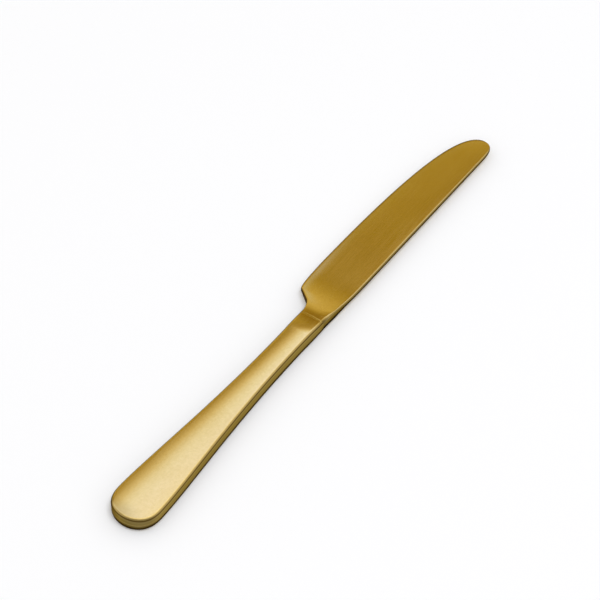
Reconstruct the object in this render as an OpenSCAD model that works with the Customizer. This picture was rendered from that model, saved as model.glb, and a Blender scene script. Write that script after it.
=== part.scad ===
// Table knife, lying flat: a forged blade with a bolster and a tang, set in a hollow handle.
// The handle is two pressed half shells, soldered at their rims and filled with cement.
// Millimetres. +X runs from the butt to the tip, +Y to the cutting edge, +Z up.
// The origin is the centre of the footprint, on the surface that the knife lies on.

/* [Overall] */
// Length from the butt to the tip
overall_len = 235; // [210:1:255]
// Length of the handle from the butt to its mouth
handle_len = 115.2; // [105:0.2:122]

/* [Handle outline] */
// Greatest width of the handle, near the butt
butt_w = 19.6; // [16:0.1:24]
// Distance from the end of the butt to its greatest width
butt_len = 10.2; // [7:0.1:14]
// How far the butt's end runs square to the axis before it rounds
butt_square = 3.4; // [2:0.1:5]
// How far the butt's corner reaches back from the greatest width
butt_corner = 8.5; // [5:0.1:9]
// How far the full width runs on before the side draws in
side_start = 15.9; // [8:0.1:24]
// Length of the slow run of the side into the neck
side_end = 43; // [25:0.5:55]
// Least width of the handle, at the neck
neck_w = 10.1; // [8:0.1:13]
// Distance from the mouth back to the narrowest place
neck_back = 13.4; // [8:0.1:20]
// Width of the handle at its mouth
mouth_w = 10.5; // [9:0.1:14]

/* [Handle section] */
// Thickness over the crowns of both faces
handle_t = 6.4; // [5:0.1:9]
// Radius of the crown across each face
crown_r = 80; // [50:1:140]
// Radius that rounds the long edges
edge_r = 1; // [0.9:0.05:1.4]
// How much each face falls away at the butt
butt_drop = 0.5; // [0:0.05:0.9]
// Length of that fall
butt_run = 12; // [6:0.5:20]
// How much each face falls away at the mouth
mouth_drop = 0.25; // [0:0.05:0.6]
// Length of that fall
mouth_run = 5; // [3:0.5:10]
// Wall of the pressed shells
wall = 0.8; // [0.6:0.05:1]

/* [Joints] */
// Thickness of the solder strip along the seam
seam_t = 0.1; // [0.06:0.01:0.2]
// Length of the solder ring at the mouth
ring_len = 0.8; // [0.4:0.1:1.2]
// Depth of the solder ring below the faces that it joins
ring_sunk = 0.15; // [0:0.05:0.3]
// Clearance round the spigot, the tang and the cement
fit_gap = 0.05; // [0.02:0.01:0.1]
// Length of the spigot that fills the handle's mouth
spigot_len = 6; // [4:0.5:9]

/* [Tang] */
// Length of the tang past the spigot
tang_len = 52; // [30:1:65]
// Width of the tang at the spigot
tang_w = 5; // [4:0.1:6]
// Width of the tang at its end
tang_end_w = 3.4; // [2.6:0.1:4]
// Thickness of the tang
tang_t = 2.4; // [1.8:0.1:3]
// Radius of the notches that key the tang in the cement
notch_r = 0.7; // [0.4:0.05:0.9]
// Distances of the notches from the spigot
notch_at = [18, 40]; // [10:1:60]

/* [Blade outline] */
// Distance of the spine from the handle's axis
spine_y = 6.2; // [5.4:0.1:8]
// Distance of the cutting edge from the handle's axis
edge_y = 14.35; // [13.5:0.05:18]
// Distance from the mouth to the corner of the heel
heel_dx = 11.4; // [9.5:0.1:14]
// Height of the heel's corner above the handle's axis
heel_y = 12.8; // [11:0.1:13.4]
// Slant of the heel, from square to the axis
heel_slant = 36; // [25:1:40]
// Length of the hollow corner behind the heel, along the neck
heel_hollow = 4.2; // [2:0.1:4.5]
// Distance from the heel's corner to where the edge runs parallel to the axis
belly_len = 17; // [8:0.5:24]
// Length that the edge runs on parallel to the axis before it starts to fall
edge_fall = 0.4; // [0:0.2:12]
// Distance from the tip back to where the fall of the edge stays full
edge_full = 16; // [10:0.5:40]
// Distance from the tip back to where the spine starts to round
tip_back = 9.5; // [8:0.5:18]
// Distance of the foremost point from the handle's axis, on the spine's side
tip_y = 1.2; // [0:0.1:2]
// Height of the blunt part of the tip on the edge's side
tip_blunt = 8.2; // [4:0.1:11]

/* [Blade section] */
// Thickness of the spine where the run-out ends
spine_t = 2.1; // [1.6:0.05:2.8]
// Thickness of the cutting edge there
edge_t = 0.5; // [0.3:0.05:0.8]
// How much each flank falls towards the tip
tip_fall = 0.15; // [0:0.01:0.2]
// Distance from the mouth to the end of the run-out
runout_len = 21; // [18:0.5:26]
// Radius of the concave run-out
runout_r = 80; // [60:1:110]
// Length of the bolster that keeps the handle's rounded edges
bolster_len = 8.5; // [6:0.5:9]

/* [Hidden] */
gold = [0.80, 0.64, 0.30];
solder = [0.86, 0.72, 0.42];
cement = [0.72, 0.70, 0.66];

butt_half = butt_w/2;
neck_half = neck_w/2;
mouth_half = mouth_w/2;
crown_z = handle_t/2;
neck_x = handle_len - neck_back;
mouth_z = crown_z - mouth_drop;
shoulder_x = handle_len + ring_len;
bolster_x = shoulder_x + bolster_len;
runout_x = handle_len + runout_len;
spigot_x = handle_len - spigot_len;
blade_height = edge_y + spine_y;

// Tilt of a flank across the blade, and its fall along it
flank_tilt = atan((spine_t - edge_t)/2/blade_height);
flank_fall = atan(tip_fall/(overall_len - runout_x));

// How far a cut or a fused end runs past the face that it meets
over = 0.3;

// Corner of the heel, the way up its slant, and where that slant would meet the neck's side
heel = [handle_len + heel_dx, heel_y];
heel_dir = [sin(heel_slant), cos(heel_slant)];
heel_foot = heel - heel_dir*(heel_y - mouth_half)/cos(heel_slant);

// Point on a cubic curve with four control points
function cubic(p, t) = pow(1 - t, 3)*p[0] + 3*pow(1 - t, 2)*t*p[1] + 3*(1 - t)*t*t*p[2] + pow(t, 3)*p[3];

// Points along such a curve, without its first end
function curve(p, steps) = [for (i = [1:steps]) cubic(p, i/steps)];

// One side of the handle's outline from butt to mouth as [x, half width], drawn in by inset
function handle_side(inset) =
    let (
        b = butt_half - inset,
        n = neck_half - inset,
        m = mouth_half - inset,
        butt = [[inset, 0], [inset, butt_square], [max(inset, butt_len - butt_corner), b], [butt_len, b]],
        side = [[butt_len, b], [butt_len + side_start, b], [neck_x - side_end, n], [neck_x, n]],
        neck = [[neck_x, n], [neck_x + neck_back/3, n], [handle_len - neck_back/3, m], [handle_len, m]]
    )
    concat([cubic(butt, 0.03)], curve(butt, 12), curve(side, 16), curve(neck, 5));

// Fall of a quarter round of radius r at the distance d from its outer edge
function round_fall(d, r) = d < r ? r - sqrt(r*r - (r - d)*(r - d)) : 0;

// Height of the crown's ridge above the seam at x, drawn in by inset
function ridge(x, inset) =
    let (to_butt = max(0, 1 - x/butt_run), to_mouth = max(0, 1 - (handle_len - x)/mouth_run))
    crown_z - inset - butt_drop*pow(to_butt, 2) - mouth_drop*pow(to_mouth, 2)*(3 - 2*to_mouth)
        - round_fall(x - inset, edge_r);

// Upper half of a section as [y, z] from +Y to -Y: rounded edges and a crowned face between them
function crown_half(half_w, ridge_z, inset) =
    let (
        r = min(max(edge_r - inset, edge_r/5), 0.7*half_w),
        flat = half_w - r,
        lean = asin(flat/crown_r),
        level = ridge_z - flat*flat/(2*crown_r) - r*cos(lean),
        corner = [for (i = [0:5]) let (a = i*(90 - lean)/5) [flat + r*cos(a), level + r*sin(a)]],
        face = [for (i = [1:4]) let (y = flat*(1 - i*2/5)) [y, ridge_z - y*y/(2*crown_r)]]
    )
    concat(corner, face, [for (i = [5:-1:0]) [-corner[i][0], corner[i][1]]]);

// Upper half of a section, standing on the level base_z
function half_section(half_w, ridge_z, inset, base_z) =
    concat([[half_w, base_z]], crown_half(half_w, ridge_z, inset), [[-half_w, base_z]]);

// Whole section, the same below the seam as above it
function full_section(half_w, ridge_z, inset) =
    let (top = crown_half(half_w, ridge_z, inset))
    concat(top, [for (i = [len(top) - 1:-1:0]) [top[i][0], -top[i][1]]]);

// Whole section of the handle at its mouth
function mouth_section(inset) = full_section(mouth_half - inset, mouth_z - inset, inset);

// Spine's side of the neck's plan, from the shoulder to the end of the run-out
function neck_low() =
    let (third = (runout_x - shoulder_x)/3)
    concat([[shoulder_x, -mouth_half]], curve([[shoulder_x, -mouth_half], [shoulder_x + third, -mouth_half],
        [runout_x - third, -spine_y], [runout_x, -spine_y]], 8));

// Edge's side of the neck's plan, from the shoulder round the hollow corner to the heel's corner
function neck_high() = concat(
    [[shoulder_x, mouth_half], heel_foot - [heel_hollow, 0]],
    curve([heel_foot - [heel_hollow, 0], heel_foot - [heel_hollow/3, 0],
        heel_foot + heel_dir*heel_hollow/4, heel_foot + heel_dir*heel_hollow*2/3], 6),
    [heel]
);

// Solid through a row of sections, where sections[i] holds the [y, z] points at stations[i]
module loft(stations, sections) {
    n = len(sections[0]);
    last = len(stations) - 1;
    points = [for (i = [0:last]) for (p = sections[i]) [stations[i], p[0], p[1]]];
    start = [for (j = [0:n - 1]) j];
    end = [for (j = [n - 1:-1:0]) last*n + j];
    skin = [
        for (i = [0:last - 1]) for (j = [0:n - 1])
        let (a = i*n + j, b = i*n + (j + 1)%n)
        for (tri = [[a, a + n, b + n], [a, b + n, b]]) tri
    ];
    polyhedron(points = points, faces = concat([start, end], skin));
}

// Upper half of the handle's envelope above base_z, drawn in by inset and run past the mouth
module handle_half(inset, base_z, past) {
    side = concat(handle_side(inset), past > 0 ? [[handle_len + past, mouth_half - inset]] : []);
    loft([for (p = side) p[0]],
        [for (p = side) half_section(p[1], ridge(min(p[0], handle_len), inset), inset, base_z)]);
}

// Stretch of the handle's whole envelope between two stations, drawn in by inset
module handle_core(inset, from_x, to_x) {
    side = handle_side(inset);
    stations = concat([from_x], [for (p = side) if (p[0] > from_x && p[0] < to_x) p[0]], [to_x]);
    loft(stations, [for (x = stations) full_section(lookup(x, side), ridge(x, inset), inset)]);
}

// Plan of the handle, drawn in by inset and run past the mouth
module handle_plan(inset, past) {
    side = concat(handle_side(inset), [[handle_len + past, mouth_half - inset]]);
    polygon(concat(side, [for (i = [len(side) - 1:-1:0]) [side[i][0], -side[i][1]]]));
}

// Straight bar along X with the section of the mouth
module mouth_bar(from_x, to_x, inset) {
    translate([from_x, 0, 0]) rotate([90, 0, 90]) linear_extrude(to_x - from_x) polygon(mouth_section(inset));
}

// One pressed half shell, standing on the seam's solder
module half_shell() {
    difference() {
        handle_half(0, seam_t/2, 0);
        handle_half(wall, -seam_t, over);
    }
}

// Thick part behind the blade: the mouth's section, spread to the width of the neck's plan.
// It runs on into the blade, drawn in there, so that the two are one solid at any length.
module bolster() {
    low = neck_low();
    high = neck_high();
    steps = 9;
    stations = [for (i = [0:steps]) shoulder_x + i*bolster_len/steps, bolster_x + over];
    sections = [
        for (x = stations)
        let (y0 = lookup(x, low), y1 = lookup(x, high), sunk = x > bolster_x + over/2 ? over : 0)
        [for (p = full_section((y1 - y0)/2 - sunk, mouth_z - sunk, 0)) [p[0] + (y0 + y1)/2, p[1]]]
    ];
    loft(stations, sections);
}

// Plan of the blade from the bolster along the spine, round the tip and back along the edge
module blade_plan() {
    spine_end = [overall_len - tip_back, -spine_y];
    tip = [overall_len, -tip_y];
    belly = heel + [belly_len, edge_y - heel_y];
    edge_start = belly + [edge_fall, 0];
    low = neck_low();
    high = neck_high();
    polygon(concat(
        [[bolster_x, lookup(bolster_x, low)]],
        [for (p = low) if (p[0] > bolster_x) p],
        [spine_end],
        curve([spine_end, spine_end + [tip_back*2/3, 0], tip - [0, (spine_y - tip_y)*0.9], tip], 10),
        curve([tip, tip + [0, tip_blunt], [overall_len - edge_full, edge_y], edge_start], 30),
        curve([belly, belly - [belly_len/2, 0], heel + [belly_len/8, (edge_y - heel_y)*2/3], heel], 7),
        [[bolster_x, lookup(bolster_x, high)]]
    ));
}

// What the grinding wheel takes off one side: a flat flank and the concave run-out behind it
module flank_cut() {
    translate([runout_x, -spine_y, spine_t/2]) rotate([-flank_tilt, flank_fall, 0]) rotate([90, 0, 0])
    linear_extrude(4*blade_height, center = true) {
        translate([0, runout_r]) circle(runout_r, $fn = 360);
        square([overall_len, 2*runout_r]);
    }
}

// Plan of the tang, grown by a clearance for its pocket
module tang_plan(grow) {
    end_x = spigot_x - tang_len - grow;
    taper = (tang_w - tang_end_w)/2/tang_len;
    difference() {
        polygon([[spigot_x + over, tang_w/2 + grow], [end_x, tang_end_w/2 + grow],
            [end_x, -tang_end_w/2 - grow], [spigot_x + over, -tang_w/2 - grow]]);
        for (d = notch_at, s = [1, -1])
            translate([spigot_x - d, s*(tang_w/2 - taper*d + grow)]) circle(notch_r, $fn = 32);
    }
}

// Forged blade with its bolster, spigot and tang
module blade() {
    color(gold) {
        difference() {
            union() {
                bolster();
                linear_extrude(2*mouth_z, center = true) blade_plan();
            }
            flank_cut();
            mirror([0, 0, 1]) flank_cut();
        }
        mouth_bar(handle_len - over, shoulder_x + over, wall + fit_gap);
        handle_core(wall + fit_gap, spigot_x, handle_len);
        linear_extrude(tang_t, center = true) tang_plan(0);
    }
}

module handle_front_shell() {
    color(gold) half_shell();
}

module handle_back_shell() {
    color(gold) mirror([0, 0, 1]) half_shell();
}

// Strip of solder between the rims of the two shells
module seam_solder() {
    color(solder) linear_extrude(seam_t, center = true) difference() {
        handle_plan(0, 0);
        handle_plan(wall, over);
    }
}

// Ring of solder between the handle's mouth and the bolster's shoulder
module mouth_solder() {
    color(solder) difference() {
        mouth_bar(handle_len, shoulder_x, ring_sunk);
        mouth_bar(handle_len - over, shoulder_x + over, wall);
    }
}

// Cement core that fills the shells round the tang
module handle_filler() {
    inset = wall + fit_gap;
    color(cement) difference() {
        handle_core(inset, handle_side(inset)[0][0], spigot_x - fit_gap);
        linear_extrude(tang_t + 2*fit_gap, center = true) tang_plan(fit_gap);
    }
}

// The parts are drawn round the handle's axis at the seam, and set here over the centre of the footprint
module placed() {
    translate([-overall_len/2, (butt_half - edge_y)/2, crown_z]) children();
}

placed() blade();
placed() handle_front_shell();
placed() handle_back_shell();
placed() seam_solder();
placed() mouth_solder();
placed() handle_filler();
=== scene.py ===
"""Table knife with a hollow handle, in satin gold-coloured steel, on a pale studio floor.

Sizes are millimetres along the knife from the butt (x), from the handle's axis towards the cutting edge (y)
and from the seam between the two half shells (z). They become metres in the shared frame in Skin.piece().
"""

import logging
import math
from dataclasses import dataclass, field
from enum import Enum
from typing import Any, Callable, Sequence

import bmesh
import bpy
import numpy as np
from mathutils import Matrix, Vector
from numpy.typing import NDArray


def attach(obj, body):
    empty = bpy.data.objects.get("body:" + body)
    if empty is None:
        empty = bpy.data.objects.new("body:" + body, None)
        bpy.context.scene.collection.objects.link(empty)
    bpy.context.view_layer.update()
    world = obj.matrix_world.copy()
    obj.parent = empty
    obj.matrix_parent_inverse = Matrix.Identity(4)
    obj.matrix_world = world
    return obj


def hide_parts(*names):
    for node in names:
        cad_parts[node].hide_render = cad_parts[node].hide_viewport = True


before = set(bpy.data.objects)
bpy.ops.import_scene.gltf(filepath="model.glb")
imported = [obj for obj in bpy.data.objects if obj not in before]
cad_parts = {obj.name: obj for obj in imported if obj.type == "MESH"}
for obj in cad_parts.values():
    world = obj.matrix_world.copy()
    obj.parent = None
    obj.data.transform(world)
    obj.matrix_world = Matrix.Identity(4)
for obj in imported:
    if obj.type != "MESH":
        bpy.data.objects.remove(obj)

Array = NDArray[np.float64]
Indices = NDArray[np.int64]
Object = bpy.types.Object
Material = bpy.types.Material
Tree = bpy.types.NodeTree
Socket = bpy.types.NodeSocket

log = logging.getLogger("table_knife")

MM = 0.001
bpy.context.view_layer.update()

# The middle of the footprint, where the shared frame has its origin, seen from the butt's end on the seam
FOOTPRINT = np.array([117.5, 2.275, -3.2])

# Middle of the solder ring between handle and blade
JOINT = 115.6

# Names of the point attributes that the finish reads. The tone is above 0 where a pale highlight is painted, and
# falls to -1 where shade is painted brown. The wall is 1 on side walls, and the rim is 1 on a line along the upper
# rim, where a dark line of shade is painted.
TONE = "tone"
WALL = "wall"
RIM = "rim"

# How far a normal points up: walls end between two such shares, and the rim's line lies round one, with its spread
WALL_TILT = (0.66, 0.94)
RIM_TILT = 0.50
RIM_SPREAD = 0.18

# Points closer than this are merged, and faces that meet at a greater angle have a crisp rim between them
MERGE_MM = 0.0005
CRISP_DEG = 38.0

# Distance over which the slope of a surface is taken
SLOPE_STEP = 0.01

# Factors that turn one half of a form into the other
MIRROR_Y = np.array([1.0, -1.0, 1.0])
MIRROR_Z = np.array([1.0, 1.0, -1.0])


class Lie(Enum):
    """Which way a half of the knife faces as it lies."""

    UP = 1.0
    DOWN = -1.0


class Slot(Enum):
    """Finishes in the part's record that a scene can repaint."""

    GOLD = "gold_steel"
    SOLDER = "solder"
    CEMENT = "cement"


def cubic(points: Sequence[Sequence[float]], steps: int) -> Array:
    """Points on a cubic curve: its four control points, weighted by the powers of t and of 1 - t.

    Args:
        points: Four control points.
        steps: How many points to give, both ends among them.

    Returns:
        The points as rows.
    """
    t = np.linspace(0.0, 1.0, steps)
    s = 1.0 - t
    return np.stack([s**3, 3 * s * s * t, 3 * s * t * t, t**3], axis=-1) @ np.asarray(points, float)


def smooth_min(a: Array, b: Array, reach: float) -> Array:
    """The lower of two heights, blended by a parabola within reach of their crossing, so that the slope runs on."""
    share = np.clip(0.5 + 0.5 * (b - a) / reach, 0.0, 1.0)
    return b + (a - b) * share - reach * share * (1.0 - share)


def ease(x: Array, start: float, end: float) -> Array:
    """Rises smoothly from 0 at start to 1 at end, by 3 t squared less 2 t cubed."""
    t = np.clip((x - start) / (end - start), 0.0, 1.0)
    return t * t * (3.0 - 2.0 * t)


def add_object(name: str, data: bpy.types.ID) -> Object:
    """Makes an object of its data and links it into the scene."""
    added = bpy.data.objects.new(name, data)
    bpy.context.scene.collection.objects.link(added)
    return added


def add_panel(name: str, corners: Sequence[Sequence[float]]) -> Object:
    """Makes a flat panel from its four corners."""
    mesh = bpy.data.meshes.new(name)
    mesh.from_pydata(corners, [], [(0, 1, 2, 3)])
    return add_object(name, mesh)


def store(mesh: bpy.types.Mesh, name: str, values: Array) -> None:
    """Stores one number for each point of a mesh as an attribute."""
    layer = mesh.attributes.new(name, "FLOAT", "POINT")
    layer.data.foreach_set("value", values.astype(np.float32))


@dataclass
class Skin:
    """Points, tones and faces of one piece while it is put together, in the knife's own millimetres.

    The rim says how strongly the painted dark line of shade along the upper rim shows on the piece.
    """

    points: list[Array] = field(default_factory=list)
    tones: list[Array] = field(default_factory=list)
    faces: list[list[int]] = field(default_factory=list)
    count: int = 0
    rim: float = 0.0

    def grid(self, points: Array, tone: Array, around: bool = False) -> Indices:
        """Adds a surface given as rows of points, with a four-sided face in each cell.

        Args:
            points: Rows and columns of points.
            tone: How far a pale highlight is painted at each point, or painted shade darkens it if it is below 0.
            around: Whether the last column joins the first.

        Returns:
            The index of each point.
        """
        rows, columns = points.shape[:2]
        index = self.count + np.arange(rows * columns).reshape(rows, columns)
        self.points.append(points.reshape(-1, 3))
        self.tones.append(np.broadcast_to(tone, (rows, columns)).reshape(-1))
        self.count += rows * columns
        ring = np.concatenate([index, index[:, :1]], axis=1) if around else index
        for a, b in zip(ring[:-1], ring[1:]):
            self.strip(a, b)
        return index

    def strip(self, a: Indices, b: Indices) -> None:
        """Joins two rows of points of the same length with four-sided faces."""
        self.faces.extend(np.stack([a[:-1], a[1:], b[1:], b[:-1]], axis=-1).tolist())

    def cap(self, ring: Indices) -> None:
        """Closes a ring of points with one face."""
        self.faces.append(ring.tolist())

    def piece(self, name: str, slot: Slot, *nodes: str) -> Object:
        """Makes the finished object: doubles merged, faces outwards, smooth with crisp rims.

        Args:
            name: Name of the piece.
            slot: The record's finish for the piece; not used.
            *nodes: The CAD nodes that it stands for.

        Returns:
            The object, at the origin, with its place in its mesh.
        """
        mesh = bpy.data.meshes.new(name)
        mesh.from_pydata((np.concatenate(self.points) - FOOTPRINT) * MM, [], self.faces)
        store(mesh, TONE, np.concatenate(self.tones))
        work = bmesh.new()
        work.from_mesh(mesh)
        bmesh.ops.remove_doubles(work, verts=work.verts, dist=MERGE_MM * MM)
        bmesh.ops.recalc_face_normals(work, faces=work.faces)
        work.to_mesh(mesh)
        work.free()
        normal = np.empty(len(mesh.vertices) * 3, np.float32)
        mesh.vertex_normals.foreach_get("vector", normal)
        tilt = normal[2::3]
        # Side walls are duller, and take painted shade in their colour and their reflection
        store(mesh, WALL, 1.0 - ease(np.abs(tilt), *WALL_TILT))
        # A dark line of painted shade goes along the upper rim
        store(mesh, RIM, self.rim * np.exp(-((tilt - RIM_TILT) / RIM_SPREAD) ** 2))
        mesh.shade_smooth()
        mesh.set_sharp_from_angle(angle=math.radians(CRISP_DEG))
        piece = add_object(name, mesh)
        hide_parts(*nodes)
        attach(piece, "root")
        return piece


def linear(hex_colour: str) -> tuple[float, float, float, float]:
    """Turns an sRGB hex value into linear light.

    Args:
        hex_colour: Six hex digits.

    Returns:
        Red, green, blue and full cover.
    """
    part = np.array([int(hex_colour[i:i + 2], 16) for i in (0, 2, 4)]) / 255.0
    light = np.where(part <= 0.04045, part / 12.92, ((part + 0.055) / 1.055) ** 2.4)
    return (*light.tolist(), 1.0)


def add_node(tree: Tree, kind: str, values: dict[Any, Any], **settings: Any) -> bpy.types.Node:
    """Adds a node with its settings, and fills its inputs with numbers, colours or links.

    Args:
        tree: Where the node goes.
        kind: Blender's name of the node, past its first word.
        values: What goes into each input, by its name or number: an output to link, or a value.
        **settings: The node's own settings.

    Returns:
        The node.
    """
    node = tree.nodes.new("ShaderNode" + kind)
    for key, value in settings.items():
        setattr(node, key, value)
    for key, value in values.items():
        if isinstance(value, Socket):
            tree.links.new(value, node.inputs[key])
        else:
            node.inputs[key].default_value = value
    return node


def mix(tree: Tree, factor: Any, a: Any, b: Any, kind: str = "RGBA") -> Socket:
    """Mixes two colours or numbers, each a socket or a value, by a factor that is held between 0 and 1."""
    return add_node(tree, "Mix", {"Factor": factor, "A": a, "B": b}, data_type=kind).outputs["Result"]


def set_stops(ramp: bpy.types.ColorRamp, stops: Sequence[tuple[float, Sequence[float]]]) -> None:
    """Gives a colour ramp its stops.

    Args:
        ramp: The ramp.
        stops: Place from 0 to 1 and colour of each stop, in order.
    """
    while len(ramp.elements) < len(stops):
        ramp.elements.new(0.5)
    for element, (place, colour) in zip(ramp.elements, stops):
        element.position = place
        element.color = (*colour, 1.0)


def empty_material(name: str) -> tuple[Material, Tree]:
    """A new material with an empty node tree.

    Args:
        name: Name of the material and process.

    Returns:
        The material and its tree.
    """
    material = bpy.data.materials.new(name)
    material.use_nodes = True
    material.node_tree.nodes.clear()
    return material, material.node_tree


@dataclass(frozen=True)
class SatinGold:
    """Stainless steel, satin finished and coated gold by vapour deposition.

    The eye sees a soft, warm mirror: deep gold where it shows the dark of the room, pale cream where it shows the
    lamp. Fine belt lines run along the knife over a tighter grain. A painted highlight pales a band along the
    cutting edge; painted shade darkens the rims, the feet of the walls, the side walls and the metal beside the
    joint; and the side walls, which the belt doesn't reach, are also duller.
    """

    name: str
    coat: str = "F0D998"
    cloud: str = "D7B868"
    # Pale colour of the highlight painted along the cutting edge
    painted_highlight: str = "ECE5E2"
    # The walls' colour is painted shade: the side walls are drawn darker than the coat
    wall: str = "B09B62"
    # Colour of painted shade where the tone is below 0: the rims, the feet of the walls and the other shaded marks
    painted_shade: str = "332506"
    # Brown tint of the walls' reflection, as painted shade
    slant: str = "7C6C48"
    # Colour of the dark line painted as shade along the upper rim
    rim: str = "5C4204"
    # Colour painted near the joint: painted shade on the gold, painted light on the solder ring
    joint_light_and_shade: str = "C6A54E"
    joint_light_and_shade_mm: float = 5.5
    roughness: float = 0.15
    spread: float = 0.03
    toned_roughness: float = 0.26
    wall_roughness: float = 0.30
    line_mm: float = 0.35
    line_len_mm: float = 14.0
    line_depth_mm: float = 0.0002
    cloud_mm: float = 25.0
    grain_mm: float = 1.0

    def material(self) -> Material:
        """Builds the node tree: the coat's colour, and the belt lines in gloss and relief.

        Returns:
            The material.
        """
        material, tree = empty_material(self.name)
        place = add_node(tree, "TexCoord", {}).outputs["Object"]
        tone = add_node(tree, "Attribute", {}, attribute_name=TONE).outputs["Fac"]
        wall = add_node(tree, "Attribute", {}, attribute_name=WALL).outputs["Fac"]
        lines = self.belt_lines(tree, place)

        # The lines' noise keeps mostly between 0.3 and 0.7
        gloss = add_node(tree, "MapRange", {
            "Value": lines, "From Min": 0.3, "From Max": 0.7,
            "To Min": self.roughness - self.spread, "To Max": self.roughness + self.spread})
        toned = add_node(tree, "Math", {0: tone}, operation="ABSOLUTE")
        dull = mix(tree, toned.outputs[0], gloss.outputs["Result"], self.toned_roughness, "FLOAT")
        dull = mix(tree, wall, dull, self.wall_roughness, "FLOAT")
        relief = add_node(tree, "Bump", {
            "Height": lines, "Strength": 1.0, "Distance": self.line_depth_mm * MM})

        # Painted shade: a brown tint of the walls' reflection also dims what they mirror at a slant
        slant = mix(tree, wall, (1.0, 1.0, 1.0, 1.0), linear(self.slant))
        shader = add_node(tree, "BsdfPrincipled", {
            "Base Color": self.colour(tree, place, tone, wall), "Metallic": 1.0,
            "Roughness": dull, "Specular Tint": slant, "Normal": relief.outputs["Normal"]})
        add_node(tree, "OutputMaterial", {"Surface": shader.outputs["BSDF"]})
        return material

    def belt_lines(self, tree: Tree, place: Socket) -> Socket:
        """Noise drawn out along the knife, as the finishing belt leaves it.

        The lines are about 0.05 mm apart on the real knife, and are drawn several times as wide so that they show.

        Args:
            tree: Where the nodes go.
            place: The point's place.

        Returns:
            The noise.
        """
        across = 1.0 / (self.line_mm * MM)
        scale = (1.0 / (self.line_len_mm * MM), across, across)
        drawn_out = add_node(tree, "Mapping", {"Vector": place, "Scale": scale})
        noise = add_node(tree, "TexNoise", {
            "Vector": drawn_out.outputs["Vector"], "Scale": 1.0, "Detail": 4.0, "Roughness": 0.65})
        return noise.outputs["Fac"]

    def colour(self, tree: Tree, place: Socket, tone: Socket, wall: Socket) -> Socket:
        """The coat's colour, laid on in steps: clouds, painted light and shade at the joint, a painted highlight,
        and painted shade on the walls, in the rim's line and where the tone is below 0.

        Args:
            tree: Where the nodes go.
            place: The point's place.
            tone: How far a pale highlight is painted, or painted shade darkens the coat below 0.
            wall: How far the point is on a side wall.

        Returns:
            The colour.
        """
        # Clouds of slightly deeper colour, from uneven thickness of the coating, over the satin's grain, which is
        # finer than 0.1 mm on the real knife and is drawn coarser so that it shows
        clouds = add_node(tree, "TexNoise", {
            "Vector": place, "Scale": 1.0 / (self.cloud_mm * MM), "Detail": 3.0, "Roughness": 0.5})
        grain = add_node(tree, "TexNoise", {
            "Vector": place, "Scale": 1.0 / (self.grain_mm * MM), "Detail": 2.0, "Roughness": 0.6})
        depth = mix(tree, 0.5, clouds.outputs["Fac"], grain.outputs["Fac"], "FLOAT")
        coat = mix(tree, depth, linear(self.coat), linear(self.cloud))

        # Painted shade deepens the gold on both sides of the joint, and on the solder painted light makes the ring
        # paler
        along = add_node(tree, "SeparateXYZ", {"Vector": place}).outputs["X"]
        joint = (JOINT - FOOTPRINT[0]) * MM
        past = add_node(tree, "Math", {0: along, 1: joint}, operation="SUBTRACT")
        off = add_node(tree, "Math", {0: past.outputs[0]}, operation="ABSOLUTE")
        joint_light_and_shade = add_node(tree, "MapRange", {
            "Value": off.outputs[0], "From Min": 0.0, "From Max": self.joint_light_and_shade_mm * MM,
            "To Min": 1.0, "To Max": 0.0}, interpolation_type="SMOOTHSTEP")

        rim = add_node(tree, "Attribute", {}, attribute_name=RIM).outputs["Fac"]
        shade_share = add_node(tree, "Math", {0: tone, 1: -1.0}, operation="MULTIPLY")
        # Layers: painted light and shade near the joint, a painted highlight, and painted shade on walls, in the
        # rim's line and where the tone is below 0
        for share, layer in ((joint_light_and_shade.outputs["Result"], self.joint_light_and_shade), (tone, self.painted_highlight), (wall, self.wall),
                             (rim, self.rim), (shade_share.outputs[0], self.painted_shade)):
            coat = mix(tree, share, coat, linear(layer))
        return coat


@dataclass(frozen=True)
class SetCement:
    """Set cement in the handle, matt and grainy, pale grey with sand grains. It is never seen."""

    name: str = "set_cement"
    paste: str = "CFCBC2"
    sand: str = "A79F8F"
    grain_mm: float = 0.8
    relief_mm: float = 0.1

    def material(self) -> Material:
        """Builds the node tree: sand grains in the paste, in colour and in relief.

        Returns:
            The material.
        """
        material, tree = empty_material(self.name)
        place = add_node(tree, "TexCoord", {}).outputs["Object"]
        grains = add_node(tree, "TexVoronoi", {"Vector": place, "Scale": 1.0 / (self.grain_mm * MM)})
        colour = mix(tree, grains.outputs["Distance"], linear(self.sand), linear(self.paste))
        relief = add_node(tree, "Bump", {
            "Height": grains.outputs["Distance"], "Strength": 0.6, "Distance": self.relief_mm * MM})
        shader = add_node(tree, "BsdfPrincipled", {
            "Base Color": colour, "Roughness": 0.9, "Normal": relief.outputs["Normal"]})
        add_node(tree, "OutputMaterial", {"Surface": shader.outputs["BSDF"]})
        return material


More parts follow.
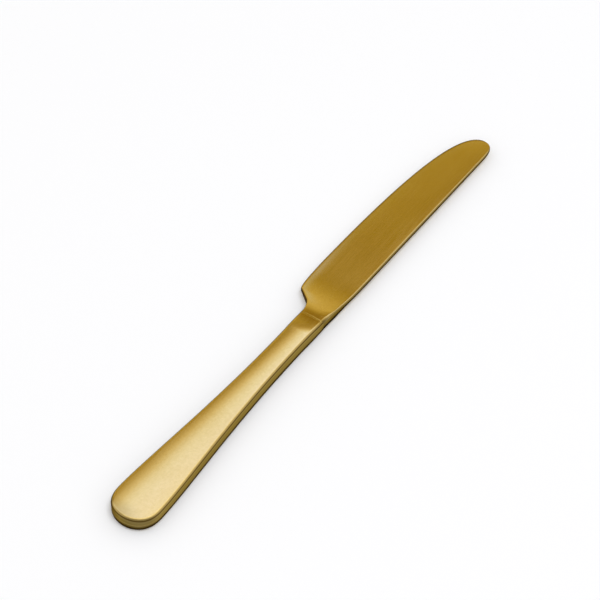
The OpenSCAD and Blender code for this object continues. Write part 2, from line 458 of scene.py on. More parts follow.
@dataclass(frozen=True)
class Handle:
    """Hollow handle: two pressed half shells, the solder strip between them and the ring at the mouth."""

    # Plan
    length: float = 115.2
    butt_w: float = 19.6
    butt_len: float = 10.2
    butt_square: float = 3.4
    butt_corner: float = 8.5
    side_start: float = 15.9
    side_end: float = 43.0
    neck_w: float = 10.1
    neck_back: float = 13.4
    mouth_w: float = 10.5

    # Crown: its radius at the butt, the neck and the mouth, where these are reached, and its fall to the mouth
    crown_z: float = 3.2
    crown_r: float = 80.0
    neck_crown_r: float = 50.0
    mouth_crown_r: float = 90.0
    crown_even: float = 30.0
    crown_neck: float = 10.0
    crown_mouth: float = 2.0
    mouth_fall: float = 0.062
    mouth_bend: float = 3.5
    mouth_run: float = 8.2

    # Sheet, edges and solder
    edge_r: float = 1.3
    inner_r: float = 0.2
    wall: float = 0.8
    rim_bevel: float = 0.08
    lip_r: float = 0.06
    lip_gap: float = 0.05
    seam_t: float = 0.1
    seam_sunk: float = 0.03
    seam_corner: float = 0.02
    ring_len: float = 0.8
    ring_sunk: float = 0.012

    # How far painted shade darkens the coat: beside the joint, at the butt, in a line along the far rim, and over a
    # part of the butt's face
    joint_shade: float = 0.2
    joint_x: tuple[float, float] = (-11.0, -2.0)
    butt_rim_shade: float = 0.5
    far_rim_shade: float = 0.6
    butt_face_shade: float = 0.22
    butt_face_shade_x: tuple[float, float] = (1.5, 7.5)
    butt_face_shade_y: tuple[float, float] = (-8.0, 2.0)

    # Points round the lip, round an edge and across the face
    lip_points: int = 6
    round_points: int = 13
    face_points: int = 35

    def outline(self) -> tuple[Array, Array, Array]:
        """Half of the plan from the butt's end to the mouth, as three cubics and a small round at the lip.

        Returns:
            The points, the way inwards at each of them, and how far the lip has drawn in there.
        """
        b, n, m = self.butt_w / 2, self.neck_w / 2, self.mouth_w / 2
        butt_x, neck_x = self.butt_len, self.length - self.neck_back
        third = self.neck_back / 3
        butt = [[0, 0], [0, self.butt_square], [butt_x - self.butt_corner, b], [butt_x, b]]
        side = [[butt_x, b], [butt_x + self.side_start, b], [neck_x - self.side_end, n], [neck_x, n]]
        neck = [[neck_x, n], [neck_x + third, n], [self.length - third, m], [self.length, m]]
        plain = np.concatenate([cubic(butt, 64), cubic(side, 150)[1:], cubic(neck, 50)[1:]])
        plain = plain[plain[:, 0] < self.length - self.lip_r - self.lip_gap]
        way = np.gradient(plain, axis=0)
        way[0] = (0.0, 1.0)
        way /= np.linalg.norm(way, axis=1, keepdims=True)
        inward = np.stack([way[:, 1], -way[:, 0]], axis=-1)

        turn = np.linspace(0.0, math.pi / 2, self.lip_points)
        lip = np.stack([self.length - self.lip_r * (1.0 - np.sin(turn)), np.full(turn.shape, m)], axis=-1)
        drawn = np.concatenate([np.zeros(len(plain)), self.lip_r * (1.0 - np.cos(turn))])
        square = np.tile([0.0, -1.0], (len(turn), 1))
        return np.concatenate([plain, lip]), np.concatenate([inward, square]), drawn

    def ridge(self, x: Array) -> Array:
        """Height of the crown along the axis.

        It is level from the butt. Towards the mouth it bends down on a parabola and then runs straight on, into
        the bolster.

        Args:
            x: Stations along the knife.

        Returns:
            The heights.
        """
        past = np.maximum(0.0, x - self.length + self.mouth_run)
        bend = np.minimum(past, self.mouth_bend)
        fall = self.mouth_fall * (bend * bend / (2.0 * self.mouth_bend) + past - bend)
        return self.crown_z - fall

    def face(self, x: Array, y: Array) -> Array:
        """Height of the crowned face: the ridge less y squared over twice the radius, tightest at the neck.

        Args:
            x: Stations along the knife.
            y: Distances from the axis.

        Returns:
            The heights.
        """
        neck, mouth = self.length - self.crown_neck, self.length - self.crown_mouth
        radius = self.crown_r + (self.neck_crown_r - self.crown_r) * ease(x, self.crown_even, neck)
        radius = radius + (self.mouth_crown_r - self.neck_crown_r) * ease(x, neck, mouth)
        return self.ridge(x) - y * y / (2.0 * radius)

    def shade_on_butt_face(self, x: Array, y: Array) -> Array:
        """How far painted shade darkens the face, which is only at the far corner of the butt."""
        return self.butt_face_shade * (1.0 - ease(x, *self.butt_face_shade_x)) * ease(y, *self.butt_face_shade_y)

    def half(self, inset: float, base: float) -> Array:
        """Upper half of the handle's form, drawn in by inset, as rows across it from seam to seam.

        Each row starts on the plan's outline, goes up the wall, round the edge on a circle that ends in line with
        the face, across the crowned face and down the other side. The rounds are set square to the outline.

        Args:
            inset: How far the form is drawn in.
            base: Height of the seam's rim.

        Returns:
            The rows of points.
        """
        points, inward, drawn = self.outline()
        drawn = drawn + inset
        radius = max(self.edge_r - inset, self.inner_r)
        foot = points + inward * (drawn + radius)[:, None]
        out = foot - inward * SLOPE_STEP
        lean = np.arctan((self.face(*foot.T) - self.face(*out.T)) / SLOPE_STEP)
        foot = points + inward * (drawn + radius * (1.0 - np.sin(lean)))[:, None]
        level = self.face(*foot.T) - drawn - radius * np.cos(lean)

        turn = np.linspace(0.0, 1.0, self.round_points) * (math.pi / 2 - lean)[:, None]
        depth = drawn[:, None] + radius * (1.0 - np.cos(turn))
        height = level[:, None] + radius * np.sin(turn)
        bevel = self.rim_bevel if inset == 0.0 else 0.0
        rim = np.broadcast_to([base, base + bevel], (len(points), 2))
        depth = np.concatenate([drawn[:, None] + bevel, drawn[:, None], depth], axis=1)
        height = np.concatenate([rim, height], axis=1)
        flat = points[:, None, :] + inward[:, None, :] * depth[:, :, None]
        up = np.concatenate([flat, height[:, :, None]], axis=2)

        y = foot[:, 1:] * np.linspace(1.0, -1.0, self.face_points)[1:-1]
        x = np.broadcast_to(foot[:, :1], y.shape)
        top = np.stack([x, y, self.face(x, y) - drawn[:, None]], axis=-1)
        down = up[:, ::-1] * MIRROR_Y
        return np.concatenate([up, top, down], axis=1)

    def tone(self, rows: Array, lie: Lie) -> Array:
        """How far a half's coat is darkened by painted shade, as numbers below 0.

        At the upper half's rounds the shade is painted beside the joint, at the butt's near corner and in a line
        along the far rim, and it is also painted over the butt's far corner. The lower half's rounds take painted
        shade fully on the wall, and less and less towards the face, by the cosine.

        Args:
            rows: The half's rows of points.
            lie: Whether it is the upper or the lower half.

        Returns:
            The tone at each point.
        """
        points, inward, _ = self.outline()
        share = np.linspace(0.0, 1.0, self.round_points)
        # Painted shade beside the joint, at the butt, along the far rim and over the butt's far corner
        by_joint = ease(points[:, :1] - self.length, *self.joint_x)
        joint = self.joint_shade * by_joint * np.sin(math.pi * share)
        rounds = []
        for far in (1.0, -1.0):
            to_corner = 0.8 * inward[:, :1] + far * 0.6 * inward[:, 1:]
            butt = self.butt_rim_shade * ease(to_corner, 0.55, 0.95)
            if lie is Lie.UP:
                line = self.far_rim_shade * ease(-far * inward[:, 1:], 0.4, 0.85) * (1.0 - ease(share, 0.6, 1.0))
                corner = butt * (1.0 - ease(share, 0.4, 0.9))
                face_shade = self.shade_on_butt_face(points[:, :1], far * points[:, 1:])
                painted_shade = np.maximum(np.maximum(joint, line), np.maximum(corner, face_shade))
            else:
                painted_shade = np.broadcast_to(np.cos(math.pi / 2 * share), (len(points), len(share)))
            rounds.append(np.concatenate([butt, butt, painted_shade], axis=1))
        far_round, near_round = rounds
        face = rows[:, far_round.shape[1]:-near_round.shape[1]]
        painted_shade = self.shade_on_butt_face(face[:, :, 0], face[:, :, 1]) if lie is Lie.UP else np.zeros(face.shape[:2])
        return -np.concatenate([far_round, painted_shade, near_round[:, ::-1]], axis=1)

    def shell(self, lie: Lie) -> Object:
        """One pressed half shell: its outer and inner skins, joined along the seam's rim and the mouth.

        Args:
            lie: Whether it is the upper or the lower one.

        Returns:
            The piece.
        """
        skin = Skin(rim=1.0 if lie is Lie.UP else 0.0)
        turn = np.array([1.0, 1.0, lie.value])
        outer = self.half(0.0, self.seam_t / 2)
        inner = self.half(self.wall, self.seam_t / 2)
        a = skin.grid(outer * turn, self.tone(outer, lie))
        b = skin.grid(inner * turn, np.zeros(inner.shape[:2]))
        skin.strip(a[:, 0], b[:, 0])
        skin.strip(a[:, -1], b[:, -1])
        skin.strip(a[-1], b[-1])
        name = "front" if lie is Lie.UP else "back"
        return skin.piece(f"half_shell_{name}", Slot.GOLD, f"handle_{name}_shell")

    def seam(self) -> Object:
        """The solder strip: a low rectangle carried along the plan's outline, just under the shells' rims.

        Returns:
            The piece.
        """
        points, inward, drawn = self.outline()
        sunk, corner = self.seam_sunk, self.seam_sunk + self.seam_corner
        depth = np.array([corner, sunk, sunk, corner, self.wall, self.wall])
        height = np.array([-1.0, -0.6, 0.6, 1.0, 1.0, -1.0]) * self.seam_t / 2
        flat = points[:, None, :] + inward[:, None, :] * (drawn[:, None] + depth[None, :])[:, :, None]
        side = np.concatenate([flat, np.broadcast_to(height, flat.shape[:2])[:, :, None]], axis=2)
        skin = Skin()
        both = np.concatenate([side[:0:-1] * MIRROR_Y, side])
        index = skin.grid(both, np.zeros(both.shape[:2]), around=True)
        skin.cap(index[0])
        skin.cap(index[-1])
        return skin.piece("seam_strip", Slot.SOLDER, "seam_solder")

    def mouth_ring(self) -> Object:
        """The solder ring: the mouth's section carried along the axis, hollowed a little between its two ends.

        Returns:
            The piece.
        """
        share = np.linspace(0.0, 1.0, self.round_points)
        x = self.length + self.ring_len * share
        sunk = self.ring_sunk * (0.35 + 0.65 * np.sin(math.pi * share) ** 2)
        outer = np.stack([self.mouth_loop(at, depth) for at, depth in zip(x, sunk)])
        inner = np.stack([self.mouth_loop(at, self.wall) for at in x[[-1, 0]]])
        rows = np.concatenate([outer, inner, outer[:1]])
        whole = self.half(0.0, 0.0)
        upper, lower = (self.tone(whole, lie)[-self.lip_points] for lie in (Lie.UP, Lie.DOWN))
        skin = Skin(rim=1.0)
        skin.grid(rows, np.concatenate([upper, lower[::-1]]), around=True)
        return skin.piece("mouth_ring", Slot.SOLDER, "mouth_solder")

    def mouth_loop(self, x: float, inset: float) -> Array:
        """The mouth's whole section as a loop, as it is before the lip draws in.

        Args:
            x: Where the loop goes.
            inset: How far it is drawn in.

        Returns:
            The loop's points.
        """
        half = self.half(inset, 0.0)[-self.lip_points]
        lower = float(self.ridge(np.array(x)) / self.ridge(np.array(self.length)))
        half = half * np.array([0.0, 1.0, lower]) + np.array([x, 0.0, 0.0])
        return np.concatenate([half, half[::-1] * MIRROR_Z])


@dataclass(frozen=True)
class Bar:
    """Closed sections square to the knife's length, the same below the middle plane as above it.

    Each station has its place, the plan's lower and upper sides, the radius of the edge on both, and how far the
    section is drawn in. The top gives the height at x and y.
    """

    x: Array
    low: Array
    high: Array
    top: Callable[[Array, Array], Array]
    round_low: Array | float
    round_high: Array | float
    drawn: Array | float = 0.0
    round_points: int = 10
    top_points: int = 42

    def side(self, plan: Array, radius: Array | float) -> tuple[Array, Array]:
        """One side of each section: up its wall, and round its edge on a circle that ends in line with the top.

        Args:
            plan: The plan's line on this side.
            radius: Radius of the edge, which is kept inside the section.

        Returns:
            The y and the z of the points, from the middle plane up.
        """
        middle = (self.low + self.high) / 2
        sign = np.sign(plan - middle)
        plan = plan - sign * self.drawn
        radius = np.minimum(radius, 0.9 * (self.top(self.x, plan) - self.drawn))
        radius = np.minimum(radius, 0.98 * np.abs(plan - middle))
        lean = np.zeros(len(self.x))
        for _ in range(3):
            foot = plan - sign * radius * (1.0 - np.sin(lean))
            rise = self.top(self.x, foot - sign * SLOPE_STEP) - self.top(self.x, foot)
            lean = np.arctan(rise / SLOPE_STEP)
        foot = plan - sign * radius * (1.0 - np.sin(lean))
        level = self.top(self.x, foot) - self.drawn - radius * np.cos(lean)
        turn = np.linspace(0.0, 1.0, self.round_points) * (math.pi / 2 - lean)[:, None]
        y = plan[:, None] - (sign * radius)[:, None] * (1.0 - np.cos(turn))
        z = level[:, None] + radius[:, None] * np.sin(turn)
        wall_y = np.stack([plan, plan], axis=1)
        wall_z = np.stack([np.zeros(len(plan)), 0.5 * level], axis=1)
        return np.concatenate([wall_y, y], axis=1), np.concatenate([wall_z, z], axis=1)

    def loops(self) -> Array:
        """Each section as a loop: up the high side, across the top, down the low side and back underneath.

        Returns:
            The points, with a loop in each row.
        """
        high_y, high_z = self.side(self.high, self.round_high)
        low_y, low_z = self.side(self.low, self.round_low)
        across = np.linspace(0.0, 1.0, self.top_points)[1:-1]
        y = high_y[:, -1:] + (low_y[:, -1:] - high_y[:, -1:]) * across
        drawn = np.broadcast_to(self.drawn, self.x.shape)[:, None]
        z = self.top(np.broadcast_to(self.x[:, None], y.shape), y) - drawn
        y = np.concatenate([high_y, y, low_y[:, ::-1]], axis=1)
        z = np.concatenate([high_z, z, low_z[:, ::-1]], axis=1)
        upper = np.stack([np.broadcast_to(self.x[:, None], y.shape), y, z], axis=-1)
        lower = upper[:, -2:0:-1] * MIRROR_Z
        return np.concatenate([upper, lower], axis=1)


@dataclass(frozen=True)
class Blade:
    """Forged blade in one piece with its bolster, spigot and tang."""

    handle: Handle

    # Plan
    overall: float = 235.0
    spine_y: float = 6.2
    spine_lag: float = 5.0
    edge_y: float = 14.35
    heel_dx: float = 11.4
    heel_y: float = 12.8
    heel_slant: float = 36.0
    heel_hollow: float = 4.2
    belly_len: float = 17.0
    edge_fall: float = 0.4
    edge_full: float = 16.0
    tip_back: float = 9.5
    tip_y: float = 1.2
    tip_blunt: float = 8.2
    tip_square: float = 0.9

    # Thickness, and edge rounds, which change from the handle's over a length each
    spine_t: float = 2.1
    edge_t: float = 0.5
    spine_r: float = 0.5
    spine_blend: float = 9.0
    edge_r: float = 0.22
    edge_blend: float = 6.0

    # Flank, with its swell's start and end about the run-out, and its tilt's about the heel
    tip_fall: float = 0.15
    nose_fall: float = 0.1
    nose_len: float = 12.0
    flank_swell: float = 0.12
    swell_x: tuple[float, float] = (-10.0, 45.0)
    bolster_tilt: float = 0.35
    tilt_x: tuple[float, float] = (-9.5, 0.5)
    bolster_len: float = 5.0
    runout_len: float = 21.6
    runout_r: float = 91.0
    runout_soft: float = 5.0
    runout_fine: float = 3.0
    crease: float = 0.28

    # How far painted shade darkens the coat: on the bolster's rims, along the blade's rims and on the walls
    bolster_rim_shade: float = 0.6
    blade_rim_shade: float = 0.3
    wall_shade: float = 0.55

    # Along the cutting edge: a painted highlight band, which fades from the heel on, and a painted dark line of
    # shade at the very edge, firmer at the tip
    band: float = 0.85
    band_fade: float = 0.7
    band_w: float = 2.4
    band_back: float = 0.6
    line: float = 0.6
    line_tip: float = 0.15
    line_round: float = 0.1
    line_w: float = 0.8

    # Inside the handle
    spigot_len: float = 6.0
    fit_gap: float = 0.05
    tang_len: float = 52.0
    tang_w: float = 5.0
    tang_end_w: float = 3.4
    tang_t: float = 2.4
    tang_r: float = 0.2
    notch_r: float = 0.7
    notch_at: tuple[float, float] = (18.0, 40.0)

    @property
    def shoulder(self) -> float:
        """Where the bolster starts, past the solder ring."""
        return self.handle.length + self.handle.ring_len

    @property
    def runout(self) -> float:
        """Where the concave run-out meets the flank."""
        return self.handle.length + self.runout_len

    @property
    def heel(self) -> Array:
        """Corner of the heel in plan."""
        return np.array([self.handle.length + self.heel_dx, self.heel_y])

    def spine(self, x: Array) -> Array:
        """The plan on the spine's side: a cubic from the bolster, a straight run and a cubic round the tip.

        Args:
            x: Stations along the knife.

        Returns:
            The y of the plan at each station.
        """
        m = self.handle.mouth_w / 2
        full = self.runout + self.spine_lag
        third = (full - self.shoulder) / 3
        start = cubic([[self.shoulder, -m], [self.shoulder + third, -m],
                       [full - third, -self.spine_y], [full, -self.spine_y]], 60)
        end = np.array([self.overall - self.tip_back, -self.spine_y])
        tip = np.array([self.overall, -self.tip_y])
        square = [0, (self.spine_y - self.tip_y) * self.tip_square]
        nose = cubic([end, end + [self.tip_back * 2 / 3, 0], tip - square, tip], 400)
        line = np.concatenate([start, nose])
        return np.interp(x, line[:, 0], line[:, 1])

    def edge(self, x: Array) -> Array:
        """The plan on the edge's side: hollow corner, slanted heel, belly, and the long fall to the tip.

        Args:
            x: Stations along the knife.

        Returns:
            The y of the plan at each station.
        """
        m = self.handle.mouth_w / 2
        slant = math.radians(self.heel_slant)
        up = np.array([math.sin(slant), math.cos(slant)])
        foot = self.heel - up * (self.heel_y - m) / up[1]
        hollow = cubic([foot - [self.heel_hollow, 0], foot - [self.heel_hollow / 3, 0],
                        foot + up * self.heel_hollow / 4, foot + up * self.heel_hollow * 2 / 3], 60)
        rise = self.edge_y - self.heel_y
        belly = self.heel + [self.belly_len, rise]
        bow = cubic([self.heel, self.heel + [self.belly_len / 8, rise * 2 / 3],
                     belly - [self.belly_len / 2, 0], belly], 60)
        tip = np.array([self.overall, -self.tip_y])
        fall = cubic([belly + [self.edge_fall, 0], [self.overall - self.edge_full, self.edge_y],
                      tip + [0, self.tip_blunt], tip], 900)
        line = np.concatenate([[[self.shoulder - 1.0, m]], hollow, bow, fall])
        return np.interp(x, line[:, 0], line[:, 1])

    def flank(self, x: Array, y: Array) -> Array:
        """Height of the ground face: a plane from spine to edge, swollen between them, plus the run-out.

        The plane tilts less towards the bolster. The swell is flat in the middle and falls by the fourth power
        towards both edges, and the nose falls by the second power of the distance. Behind the run-out's end, which
        fades in, the wheel's radius lifts the face by the distance squared over twice that radius, up to the
        bolster's crown, and the crease is rounded.

        Args:
            x: Stations along the knife.
            y: Distances from the handle's axis.

        Returns:
            The heights above the blade's middle plane.
        """
        height = self.edge_y + self.spine_y
        across = (y + self.spine_y) / height
        level = self.spine_y / height
        to_blade = ease(x - self.heel[0], *self.tilt_x)
        taper = level + (across - level) * (self.bolster_tilt + (1.0 - self.bolster_tilt) * to_blade)
        plane = self.spine_t / 2 - (self.spine_t - self.edge_t) / 2 * taper
        plane = plane - self.tip_fall * np.maximum(0.0, x - self.runout) / (self.overall - self.runout)
        plane = plane - self.nose_fall * np.maximum(0.0, 1.0 - (self.overall - x) / self.nose_len) ** 2
        to_swell = ease(x - self.runout, *self.swell_x)
        swell = self.flank_swell * (1.0 - (2.0 * across - 1.0) ** 4) * to_swell
        back = (self.runout - x + np.hypot(self.runout - x, self.runout_soft)) / 2.0
        wheel = back**2 / (2.0 * self.runout_r)
        crown = self.handle.face(np.minimum(x, self.handle.length + self.bolster_len), y)
        return smooth_min(plane + swell + wheel, crown, self.crease)

    def tang_half(self, x: Array) -> Array:
        """Half width of the tang, which tapers to its end and has a round notch on each side at two places.

        Args:
            x: Stations along the knife.

        Returns:
            The half widths.
        """
        back = self.handle.length - self.spigot_len - x
        half = (self.tang_w - (self.tang_w - self.tang_end_w) * back / self.tang_len) / 2
        gap = np.abs(back[:, None] - np.array(self.notch_at))
        return half - np.sqrt(np.maximum(0.0, self.notch_r**2 - gap**2)).max(axis=1)

    def tones(self, loops: Array) -> Array:
        """How far the bolster and the blade are painted pale as a highlight, or darkened by painted shade below 0.

        A painted highlight band and a painted dark line of shade lie along the cutting edge, and both follow a bell
        curve of the distance from it. The lower half's rounds take painted shade by the cosine, fully on the wall
        and not at all on the flank.

        Args:
            loops: The sections' loops.

        Returns:
            The tone at each point.
        """
        side, turn = Bar.round_points + 2, np.linspace(0.0, 1.0, Bar.round_points)
        x, high, y = loops[:, :1, 0], loops[:, :1, 1], loops[:, side:side + Bar.top_points - 2, 1]
        square = (high - y) / np.hypot(1.0, np.gradient(high[:, 0], x[:, 0]))[:, None]
        # A painted highlight band and a painted dark line of shade along the cutting edge
        edge_light_and_shade = ease(x - self.heel[0], -6.5, -0.5)
        band = self.band - self.band_fade * ease(x - self.heel[0], 5.0, 50.0)
        band = band * np.exp(-(square / self.band_w) ** 2) * (1.0 - np.exp(-(square / self.band_back) ** 2))
        line = self.line + self.line_tip * ease(x - self.overall, -30.0, -8.0)
        top = edge_light_and_shade * (band - line * np.exp(-(square / self.line_w) ** 2))

        # Painted shade on the walls and on the bolster's and the blade's rims
        wall = -self.wall_shade * ease(x - self.shoulder, 3.0, 15.0)
        rim = self.bolster_rim_shade * (ease(x - self.shoulder, 0.0, 4.0) - 1.0)
        rim = rim - self.blade_rim_shade * ease(x - self.runout, -6.0, 4.0)
        blunt = rim * np.sin(0.2 + (math.pi - 0.2) * turn)
        keen = np.minimum(blunt, -edge_light_and_shade * (line + self.line_round))
        upper = np.concatenate([wall, 0.5 * (wall + keen[:, :1]), keen, top, blunt[:, ::-1],
                                0.5 * (wall + blunt[:, :1]), wall], axis=1)

        # Painted shade on the lower half's rounds and walls, darker towards the foot
        foot = np.broadcast_to(-np.cos(math.pi / 2 * turn), blunt.shape)
        lower_wall_shade = np.maximum(-1.0, 0.5 * (wall - 2.0 + ease(x - self.runout, 0.0, 25.0)))
        lower = np.concatenate([wall, lower_wall_shade, foot, top, foot[:, ::-1], lower_wall_shade, wall], axis=1)
        return np.concatenate([upper, lower[:, -2:0:-1]], axis=1)

    def body(self) -> Object:
        """The whole forging: tang, spigot, bolster and blade as one row of sections from end to end.

        Returns:
            The piece.
        """
        hand = self.handle
        inset = hand.wall + self.fit_gap
        spigot = hand.length - self.spigot_len

        # Tang, with more stations at its notches
        notch = np.linspace(-self.notch_r, self.notch_r, 15)
        x = np.unique(np.concatenate([np.linspace(spigot - self.tang_len, spigot, 60)]
                                     + [spigot - at + notch for at in self.notch_at]))
        half = self.tang_half(x)
        flat = self.tang_t / 2
        tang = Bar(x, -half, half, lambda x, y: np.full(np.shape(y), flat), self.tang_r, self.tang_r).loops()

        # Spigot, which fits inside the handle's mouth
        plan = hand.outline()[0]
        x = np.linspace(spigot, self.shoulder, 24)
        half = np.interp(x, plan[:, 0], plan[:, 1]) - inset
        core = Bar(x, -half, half, lambda x, y: hand.face(np.minimum(x, hand.length), y) - inset,
                   self.tang_r, self.tang_r).loops()

        # Bolster and blade, with more stations at the lip, the run-out, the heel's corner and the nose
        turn = np.linspace(math.pi / 2, 0.0, 5)
        lip = self.shoulder + hand.lip_r * (1.0 - np.sin(turn))
        near = np.arange(lip[-1] + 0.2, self.runout + self.runout_fine, 0.2)
        corner = self.heel[0] + np.array([-0.06, -0.02, 0.0, 0.02, 0.06])
        far = np.arange(self.runout + self.runout_fine, self.overall - self.nose_len, 1.2)
        nose = self.overall - self.nose_len * (1.0 - np.linspace(0.0, 1.0, 90)) ** 2
        x = np.concatenate([lip, np.unique(np.concatenate([near, corner, far, nose]))])
        drawn = np.concatenate([hand.lip_r * (1.0 - np.cos(turn)), np.zeros(len(x) - len(lip))])
        to_spine = ease(x - self.shoulder, 0.0, self.spine_blend)
        to_edge = ease(x - self.shoulder, 0.0, self.edge_blend)
        blade = Bar(x, self.spine(x), self.edge(x), self.flank,
                    hand.edge_r + (self.spine_r - hand.edge_r) * to_spine,
                    hand.edge_r + (self.edge_r - hand.edge_r) * to_edge, drawn).loops()

        # Tang and spigot are never seen, so they keep the plain coat
        loops = np.concatenate([tang, core, blade])
        plain = np.zeros((len(tang) + len(core), loops.shape[1]))
        tones = np.concatenate([plain, self.tones(blade)])
        skin = Skin()
        index = skin.grid(loops, tones, around=True)
        skin.cap(index[0])
        return skin.piece("blade_forging", Slot.GOLD, "blade")


@dataclass(frozen=True)
class Studio:
    """Floor, screen, light and camera: a pale table in a warm room, seen as in the photograph.

    The room and the screen are graded by how high they are seen from the knife: each stop is an angle and a level
    or a colour. The screen shows in the metal alone.
    """

    floor_m: float = 6.0
    floor_colour: str = "F0F4FE"
    elevation: float = 48.5
    heading: float = 54.35
    distance_mm: float = 919.0
    target: tuple[float, float, float] = (121.78, 9.70, 0.0)
    lens_mm: float = 144.0
    shift_mm: float = 0.09
    sensor_mm: float = 36.0
    room: tuple[tuple[float, float], ...] = (
        (0.0, 0.45), (12.0, 0.6), (25.0, 0.9), (42.0, 0.9), (55.0, 0.5), (89.0, 0.4))
    room_tint: tuple[float, float, float] = (1.0, 0.94, 0.82)
    lift: float = 0.06
    screen_m: float = 1.6
    screen_half_w: float = 1.8
    screen_h: float = 3.7
    grade: tuple[tuple[float, tuple[float, float, float]], ...] = (
        (26.0, (0.74, 0.60, 0.25)), (33.0, (0.69, 0.55, 0.195)), (35.5, (0.64, 0.50, 0.155)),
        (37.6, (0.56, 0.425, 0.105)), (39.6, (0.48, 0.355, 0.06)), (41.5, (0.425, 0.305, 0.033)),
        (43.0, (0.38, 0.262, 0.012)), (45.5, (0.325, 0.212, 0.0)), (47.0, (0.42, 0.295, 0.03)),
        (48.8, (0.69, 0.52, 0.14)), (50.5, (0.95, 0.88, 0.62)), (53.0, (1.08, 1.18, 1.60)),
        (58.0, (1.13, 1.20, 1.80)), (66.0, (1.05, 1.06, 1.20)))

    def axes(self) -> tuple[Vector, Vector, Vector]:
        """Right, up and forward of the camera.

        Returns:
            The three unit vectors.
        """
        e, h = math.radians(self.elevation), math.radians(self.heading)
        ahead = Vector((math.sin(h), math.cos(h), 0.0))
        up = Vector((0.0, 0.0, 1.0))
        return (Vector((math.cos(h), -math.sin(h), 0.0)), ahead * math.sin(e) + up * math.cos(e),
                ahead * math.cos(e) - up * math.sin(e))

    def camera(self) -> None:
        """Sets the camera that was fitted to the photograph's outline, with a small shift up and to the left."""
        right, up, forward = self.axes()
        target = Vector((Vector(self.target) - Vector(FOOTPRINT)) + (up - right) * self.shift_mm) * MM
        data = bpy.data.cameras.new("camera")
        data.lens = self.lens_mm
        data.sensor_width = self.sensor_mm
        data.clip_start = 0.05
        camera = add_object("camera", data)
        place = Matrix((right, up, -forward)).transposed().to_4x4()
        place.translation = target - forward * (self.distance_mm * MM)
        camera.matrix_world = place
        bpy.context.scene.camera = camera

    def floor(self) -> Object:
        """A matt white table top at the height that the knife lies on, a little lighter where it is seen.

        Returns:
            The floor.
        """
        half = self.floor_m / 2
        floor = add_panel("floor", [(-half, -half, 0), (half, -half, 0), (half, half, 0), (-half, half, 0)])
        material, tree = empty_material("matt_white_table")
        path = add_node(tree, "LightPath", {})
        seen = add_node(tree, "Math", {
            0: path.outputs["Is Camera Ray"], 1: path.outputs["Is Glossy Ray"]}, operation="MAXIMUM")
        lift = add_node(tree, "Math", {0: seen.outputs[0], 1: self.lift}, operation="MULTIPLY")
        shader = add_node(tree, "BsdfPrincipled", {
            "Base Color": linear(self.floor_colour), "Roughness": 0.9, "Specular IOR Level": 0.0,
            "Emission Color": (1.0, 1.0, 1.0, 1.0), "Emission Strength": lift.outputs[0]})
        add_node(tree, "OutputMaterial", {"Surface": shader.outputs["BSDF"]})
        floor.data.materials.append(material)
        return floor

    def screen(self) -> Object:
        """A tall screen beyond the knife that only the metal shows, brown below and white above.

        Returns:
            The screen.
        """
        right, _, _ = self.axes()
        foot = Vector((-right.y, right.x, 0.0)) * self.screen_m
        up = Vector((0.0, 0.0, self.screen_h))
        side = right * self.screen_half_w
        screen = add_panel("screen", [foot - side, foot + side, foot + side + up, foot - side + up])
        screen.visible_camera = screen.visible_diffuse = screen.visible_shadow = False
        material, tree = empty_material("graded_screen")
        place = add_node(tree, "TexCoord", {}).outputs["Object"]
        height = add_node(tree, "SeparateXYZ", {"Vector": place}).outputs["Z"]
        share = add_node(tree, "Math", {0: height, 1: self.screen_h}, operation="DIVIDE")
        grade = add_node(tree, "ValToRGB", {"Fac": share.outputs[0]})
        set_stops(grade.color_ramp, [(self.screen_m * math.tan(math.radians(angle)) / self.screen_h, colour)
                                     for angle, colour in self.grade])
        glow = add_node(tree, "Emission", {"Color": grade.outputs["Color"], "Strength": 1.0})
        add_node(tree, "OutputMaterial", {"Surface": glow.outputs["Emission"]})
        screen.data.materials.append(material)
        return screen

    def light(self) -> None:
        """Sets a soft lamp above the knife, one that lights only the table, and the warm room."""
        world = bpy.data.worlds.new("room")
        world.use_nodes = True
        tree = world.node_tree
        tree.nodes.clear()
        way = add_node(tree, "TexCoord", {}).outputs["Generated"]
        height = add_node(tree, "SeparateXYZ", {"Vector": way}).outputs["Z"]
        grade = add_node(tree, "ValToRGB", {"Fac": height})
        set_stops(grade.color_ramp, [(math.sin(math.radians(angle)), [level * part for part in self.room_tint])
                                     for angle, level in self.room])
        back = add_node(tree, "Background", {"Color": grade.outputs["Color"], "Strength": 1.0})
        add_node(tree, "OutputWorld", {"Surface": back.outputs["Background"]})
        bpy.context.scene.world = world
        self.lamp("above", at_m=(0.0, 0.2, 1.5), aim_m=(0.0, 0.2, 0.0), size_m=(1.6, 0.9), radiance=0.65)
        table = self.lamp("table", at_m=(0.9, -1.0, 3.9), aim_m=(0.0, 0.0, 0.0), size_m=(2.0, 1.4), radiance=6.3)
        table.visible_glossy = False

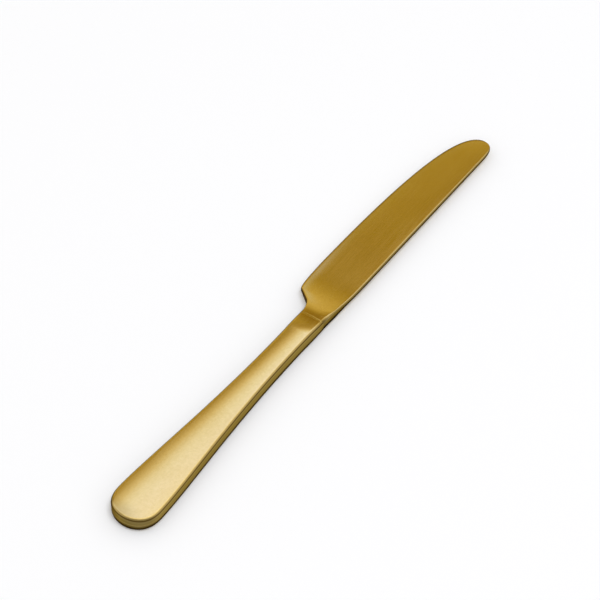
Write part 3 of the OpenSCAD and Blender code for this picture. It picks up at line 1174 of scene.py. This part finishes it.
    def lamp(self, name: str, at_m: tuple[float, float, float], aim_m: tuple[float, float, float],
             size_m: tuple[float, float], radiance: float) -> Object:
        """Adds a soft lamp. Its places are to the right, ahead and up, as the camera looks at the knife's middle.

        Args:
            name: Name of the lamp.
            at_m: Where its middle is.
            aim_m: What it points at.
            size_m: Its width and its depth.
            radiance: How bright its face is, where 1 shows as white.

        Returns:
            The lamp.
        """
        right, _, _ = self.axes()
        ahead = Vector((-right.y, right.x, 0.0))
        turn = Matrix((right, ahead, Vector((0.0, 0.0, 1.0)))).transposed()
        data = bpy.data.lights.new(name, "AREA")
        data.shape = "RECTANGLE"
        data.size, data.size_y = size_m
        data.energy = math.pi * radiance * size_m[0] * size_m[1]
        lamp = add_object(name, data)
        way = Vector(aim_m) - Vector(at_m)
        place = turn.to_4x4() @ way.to_track_quat("-Z", "Y").to_matrix().to_4x4()
        place.translation = turn @ Vector(at_m)
        lamp.matrix_world = place
        lamp.visible_camera = False
        return lamp


def dress(piece: Object, material: Material) -> None:
    """Gives a piece its one material and reports it."""
    piece.data.materials.clear()
    piece.data.materials.append(material)
    log.info("%s: %d faces, %s", piece.name, len(piece.data.polygons), material.name)


def main() -> None:
    """Builds the knife piece by piece, dresses it, and sets the studio round it."""
    logging.basicConfig(level=logging.INFO, format="%(name)s %(message)s")
    front_gold = SatinGold("satin_steel_gold_coated_front").material()
    # Each piece's wall colour is painted shade on its side walls, lighter on the back shell and darker on the blade
    back_gold = SatinGold("satin_steel_gold_coated_back", wall="B8A36C").material()
    blade_gold = SatinGold("satin_steel_gold_coated_blade", wall="A08C58").material()
    # The solder's colour near the joint paints the ring paler, as painted light
    solder_gold = SatinGold("dressed_solder_gold_coated", coat="BA994C", cloud="B08E42", joint_light_and_shade="C8AA57",
                            roughness=0.2).material()
    handle = Handle()
    blade = Blade(handle)
    dress(handle.shell(Lie.UP), front_gold)
    dress(handle.shell(Lie.DOWN), back_gold)
    dress(handle.seam(), solder_gold)
    dress(handle.mouth_ring(), solder_gold)
    dress(blade.body(), blade_gold)
    dress(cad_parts["handle_filler"], SetCement().material())
    studio = Studio()
    studio.floor()
    studio.screen()
    studio.light()
    studio.camera()
    bpy.context.scene.view_settings.view_transform = "Standard"


if __name__ == "__main__":
    main()
